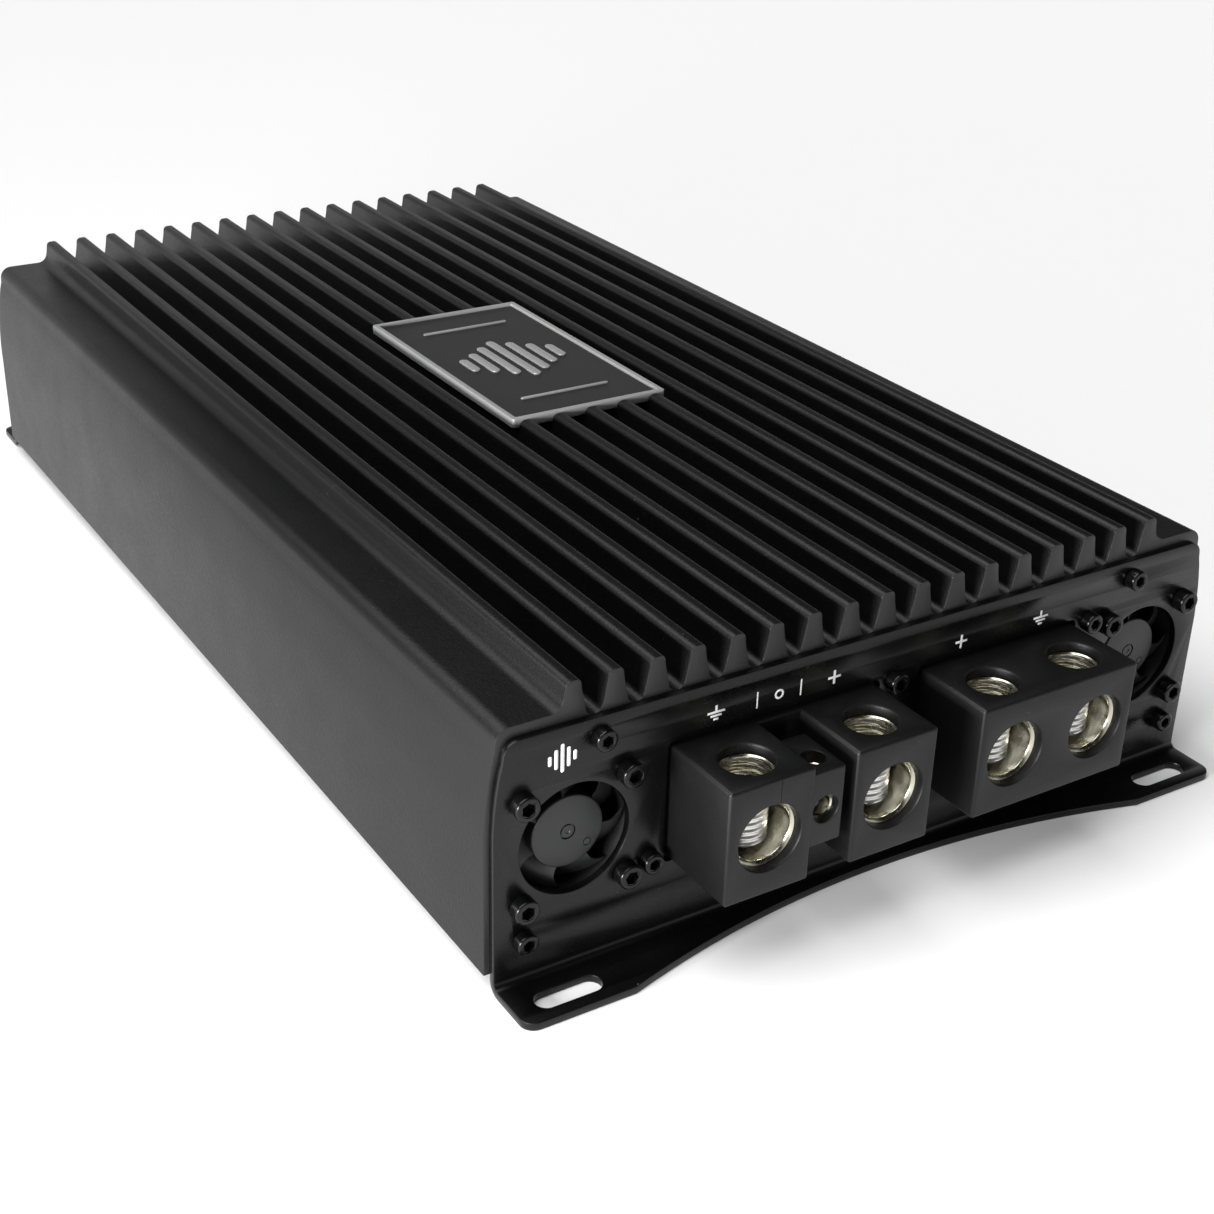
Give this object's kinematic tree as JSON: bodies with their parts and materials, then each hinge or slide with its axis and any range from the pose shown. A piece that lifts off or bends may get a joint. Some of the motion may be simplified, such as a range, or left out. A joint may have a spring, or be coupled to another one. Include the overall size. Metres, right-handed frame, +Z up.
{
  "type": "car audio amplifier",
  "caption": "Finned black car amplifier with slotted mounting flanges, end fans, moulded power terminals with clamp screws, and speaker, signal and control fittings at the rear.",
  "frame": {"origin": "under the middle of the amplifier, on the plane of the undersides of the mounting flanges", "axes": "+X to the right seen from the power terminals, +Y along the fins from the power terminals to the speaker terminals, +Z up out of the fins"},
  "size_m": [0.1916, 0.3642, 0.0668],
  "materials": {
    "powder_coat": "satin black powder coat on extruded aluminium, fine grain",
    "coated_sheet": "satin black coated steel sheet",
    "badge_silver": "bright brushed border around a dark recessed field",
    "moulded_black": "matte black moulded plastic with a fine texture",
    "knob_plastic": "matte black",
    "fan_frame_plastic": "matte black",
    "fan_rotor_plastic": "dark grey, half gloss",
    "black_oxide": "black oxide, shiny",
    "plated_metal": "pale champagne plating",
    "plated_screw": "nickel plating",
    "circuit_board": "green solder mask",
    "winding": "varnished copper winding",
    "bare_aluminium": "bare extruded aluminium",
    "capacitor_sleeve": "shrink sleeve",
    "jack_nickel": "nickel plating",
    "clear_lamp": "clear lens"
  },
  "bodies": {
    "amplifier": {"badge_plate": "badge_silver", "bass_control_socket": "moulded_black", "bottom_cover": "coated_sheet", "capacitor_bank": "capacitor_sleeve", "control_board": "circuit_board", "fan_frame_left": "fan_frame_plastic", "fan_frame_right": "fan_frame_plastic", "fan_screw_left_1": "black_oxide", "fan_screw_left_2": "black_oxide", "fan_screw_left_3": "black_oxide", "fan_screw_left_4": "black_oxide", "fan_screw_right_1": "black_oxide", "fan_screw_right_2": "black_oxide", "fan_screw_right_3": "black_oxide", "fan_screw_right_4": "black_oxide", "front_end_panel": "coated_sheet", "front_panel_screw_lower_left": "black_oxide", "front_panel_screw_lower_right": "black_oxide", "front_panel_screw_upper_left": "black_oxide", "front_panel_screw_upper_right": "black_oxide", "heatsink_shell": "powder_coat", "insert_ground_left": "plated_metal", "insert_ground_right": "plated_metal", "insert_plus_left": "plated_metal", "insert_plus_right": "plated_metal", "insert_remote": "plated_metal", "insert_speaker_minus": "plated_metal", "insert_speaker_plus": "plated_metal", "main_circuit_board": "circuit_board", "power_housing_left": "moulded_black", "power_housing_right": "moulded_black", "rca_jack_block": "jack_nickel", "rear_end_panel": "coated_sheet", "rear_panel_screw_lower_left": "black_oxide", "rear_panel_screw_lower_right": "black_oxide", "rear_panel_screw_upper_left": "black_oxide", "rear_panel_screw_upper_right": "black_oxide", "speaker_housing": "moulded_black", "status_lamp": "clear_lamp", "terminal_screw_lower_left": "black_oxide", "terminal_screw_lower_right": "black_oxide", "terminal_screw_upper_left": "black_oxide", "terminal_screw_upper_right": "black_oxide", "toroid_transformer_left": "winding", "toroid_transformer_right": "winding", "transistor_bar_left": "bare_aluminium", "transistor_bar_right": "bare_aluminium"},
    "fan_rotor_left": {"fan_rotor_left": "fan_rotor_plastic"},
    "fan_rotor_right": {"fan_rotor_right": "fan_rotor_plastic"},
    "clamp_screw_ground_left": {"clamp_screw_ground_left": "plated_screw"},
    "clamp_screw_plus_left": {"clamp_screw_plus_left": "plated_screw"},
    "clamp_screw_plus_right": {"clamp_screw_plus_right": "plated_screw"},
    "clamp_screw_ground_right": {"clamp_screw_ground_right": "plated_screw"},
    "clamp_screw_remote": {"clamp_screw_remote": "plated_screw"},
    "clamp_screw_speaker_plus": {"clamp_screw_speaker_plus": "plated_screw"},
    "clamp_screw_speaker_minus": {"clamp_screw_speaker_minus": "plated_screw"},
    "knob_gain": {"knob_gain": "knob_plastic"},
    "knob_low_pass": {"knob_low_pass": "knob_plastic"},
    "knob_subsonic": {"knob_subsonic": "knob_plastic"},
    "knob_bass_boost": {"knob_bass_boost": "knob_plastic"}
  },
  "joints": [
    {"name": "fan_spin_left", "type": "hinge", "parent": "amplifier", "child": "fan_rotor_left", "pos_m": [-0.0764, -0.155, 0.0318], "axis": [0, 1, 0], "continuous": true},
    {"name": "fan_spin_right", "type": "hinge", "parent": "amplifier", "child": "fan_rotor_right", "pos_m": [0.0764, -0.155, 0.0318], "axis": [0, 1, 0], "continuous": true},
    {"name": "clamp_travel_ground_left", "type": "slide", "parent": "amplifier", "child": "clamp_screw_ground_left", "axis": [0, 0, 1], "range_m": [0, 0.011]},
    {"name": "clamp_travel_plus_left", "type": "slide", "parent": "amplifier", "child": "clamp_screw_plus_left", "axis": [0, 0, 1], "range_m": [0, 0.011]},
    {"name": "clamp_travel_plus_right", "type": "slide", "parent": "amplifier", "child": "clamp_screw_plus_right", "axis": [0, 0, 1], "range_m": [0, 0.011]},
    {"name": "clamp_travel_ground_right", "type": "slide", "parent": "amplifier", "child": "clamp_screw_ground_right", "axis": [0, 0, 1], "range_m": [0, 0.011]},
    {"name": "clamp_travel_remote", "type": "slide", "parent": "amplifier", "child": "clamp_screw_remote", "axis": [0, 0, 1], "range_m": [0, 0.004]},
    {"name": "clamp_travel_speaker_plus", "type": "slide", "parent": "amplifier", "child": "clamp_screw_speaker_plus", "axis": [0, 0, 1], "range_m": [0, 0.011]},
    {"name": "clamp_travel_speaker_minus", "type": "slide", "parent": "amplifier", "child": "clamp_screw_speaker_minus", "axis": [0, 0, 1], "range_m": [0, 0.011]},
    {"name": "knob_turn_gain", "type": "hinge", "parent": "amplifier", "child": "knob_gain", "pos_m": [0.042, 0.1638, 0.041], "axis": [0, 1, 0], "range_deg": [-150, 150]},
    {"name": "knob_turn_low_pass", "type": "hinge", "parent": "amplifier", "child": "knob_low_pass", "pos_m": [0.054, 0.1638, 0.041], "axis": [0, 1, 0], "range_deg": [-150, 150]},
    {"name": "knob_turn_subsonic", "type": "hinge", "parent": "amplifier", "child": "knob_subsonic", "pos_m": [0.066, 0.1638, 0.041], "axis": [0, 1, 0], "range_deg": [-150, 150]},
    {"name": "knob_turn_bass_boost", "type": "hinge", "parent": "amplifier", "child": "knob_bass_boost", "pos_m": [0.078, 0.1638, 0.041], "axis": [0, 1, 0], "range_deg": [-150, 150]}
  ]
}
